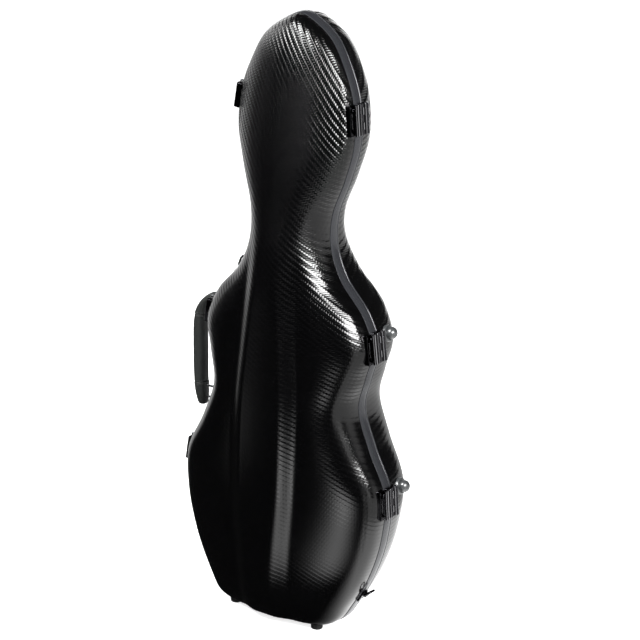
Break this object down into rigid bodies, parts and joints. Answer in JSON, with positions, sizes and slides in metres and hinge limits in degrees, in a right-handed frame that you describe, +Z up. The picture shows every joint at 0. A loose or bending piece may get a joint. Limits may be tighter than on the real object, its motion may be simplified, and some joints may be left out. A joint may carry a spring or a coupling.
{
  "type": "cello-shaped violin hard case",
  "caption": "Upright hard case with a cello's outline, made for a violin: glossy black shells on a hinge line, latches, carrying handle, strap rings, bumpers and a padded inside.",
  "frame": {"origin": "on the floor under the middle of the whole case seen from above", "axes": "+Z up along the case from its feet to its head, the lid faces -Y, the latches are at +X and the hinges and handle at -X"},
  "size_m": [0.327, 0.1576, 0.7875],
  "materials": {
    "shell": "high gloss clear coat over a black woven-look moulding",
    "band": "satin dark grey",
    "rubber": "matt black rubber",
    "lining": "dark wine velvet",
    "foam": "dark wine flocked foam",
    "metal": "black nickel plate",
    "steel": "bright steel",
    "leather": "black leather, semi-matt",
    "bumper": "glossy dark plastic"
  },
  "bodies": {
    "base": {"base_shell": "shell", "base_rim": "band", "base_foam_body": "foam", "base_foam_neck": "foam", "accessory_cover": "lining", "accessory_cover_pull": "lining", "neck_block": "lining", "neck_strap": "lining", "hinge_lower_base_leaf": "metal", "hinge_lower_pin": "steel", "hinge_middle_base_leaf": "metal", "hinge_middle_pin": "steel", "hinge_upper_base_leaf": "metal", "hinge_upper_pin": "steel", "latch_lower_plate": "metal", "latch_lower_pin": "steel", "latch_middle_plate": "metal", "latch_middle_pin": "steel", "latch_upper_plate": "metal", "latch_upper_pin": "steel", "handle_eye_lower": "metal", "handle_eye_upper": "metal", "strap_plate_shoulder": "metal", "strap_plate_lower": "metal", "bumper_middle": "bumper", "bumper_lower": "bumper", "foot_base_left": "rubber", "foot_base_right": "rubber"},
    "lid": {"lid_shell": "shell", "lid_rim": "rubber", "lid_seal": "rubber", "lid_lining": "lining", "bow_clip_left": "rubber", "bow_clip_right": "rubber", "bow_sleeve_left": "lining", "bow_sleeve_right": "lining", "hinge_lower_lid_leaf": "metal", "hinge_middle_lid_leaf": "metal", "hinge_upper_lid_leaf": "metal", "latch_lower_strike": "metal", "latch_middle_strike": "metal", "latch_upper_strike": "metal", "foot_lid_left": "rubber", "foot_lid_right": "rubber"},
    "handle": {"handle_grip": "leather", "handle_link_lower": "steel", "handle_link_upper": "steel"},
    "strap_ring_shoulder": {"strap_ring_shoulder": "metal"},
    "strap_ring_lower": {"strap_ring_lower": "metal"},
    "bow_button_left": {"bow_button_left": "rubber"},
    "bow_button_right": {"bow_button_right": "rubber"},
    "latch_lower": {"latch_lower_lever": "metal"},
    "latch_middle": {"latch_middle_lever": "metal"},
    "latch_upper": {"latch_upper_lever": "metal"}
  },
  "joints": [
    {"name": "lid_hinge", "type": "hinge", "parent": "base", "child": "lid", "pos_m": [-0.12173, -0.0104, 0.38874], "axis": [-0.1368, 0, -0.9906], "range_deg": [0, 90]},
    {"name": "latch_lower_pivot", "type": "hinge", "parent": "base", "child": "latch_lower", "pos_m": [0.15831, 0.0076, 0.19064], "axis": [-0.0969, 0, 0.9953], "range_deg": [0, 95]},
    {"name": "latch_middle_pivot", "type": "hinge", "parent": "base", "child": "latch_middle", "pos_m": [0.13036, 0.0076, 0.38875], "axis": [-0.1464, 0, 0.9892], "range_deg": [0, 95]},
    {"name": "latch_upper_pivot", "type": "hinge", "parent": "base", "child": "latch_upper", "pos_m": [0.09229, 0.0076, 0.66848], "axis": [-0.1033, 0, 0.9947], "range_deg": [0, 95]},
    {"name": "handle_swing", "type": "hinge", "parent": "base", "child": "handle", "pos_m": [-0.12264, 0.0136, 0.32227], "axis": [0.0295, 0, -0.9996], "range_deg": [-45, 45]},
    {"name": "strap_ring_lower_swing", "type": "hinge", "parent": "base", "child": "strap_ring_lower", "pos_m": [0.12553, -0.0024, 0.05464], "axis": [0, 1, 0], "range_deg": [-10, 110]},
    {"name": "strap_ring_shoulder_swing", "type": "hinge", "parent": "base", "child": "strap_ring_shoulder", "pos_m": [-0.08209, -0.0024, 0.45283], "axis": [0, -1, 0], "range_deg": [-10, 110]},
    {"name": "bow_button_left_turn", "type": "hinge", "parent": "lid", "child": "bow_button_left", "pos_m": [-0.0156, -0.04491, 0.11598], "axis": [0, 1, 0], "range_deg": [0, 90]},
    {"name": "bow_button_right_turn", "type": "hinge", "parent": "lid", "child": "bow_button_right", "pos_m": [0.0244, -0.04491, 0.11598], "axis": [0, 1, 0], "range_deg": [0, 90]}
  ]
}
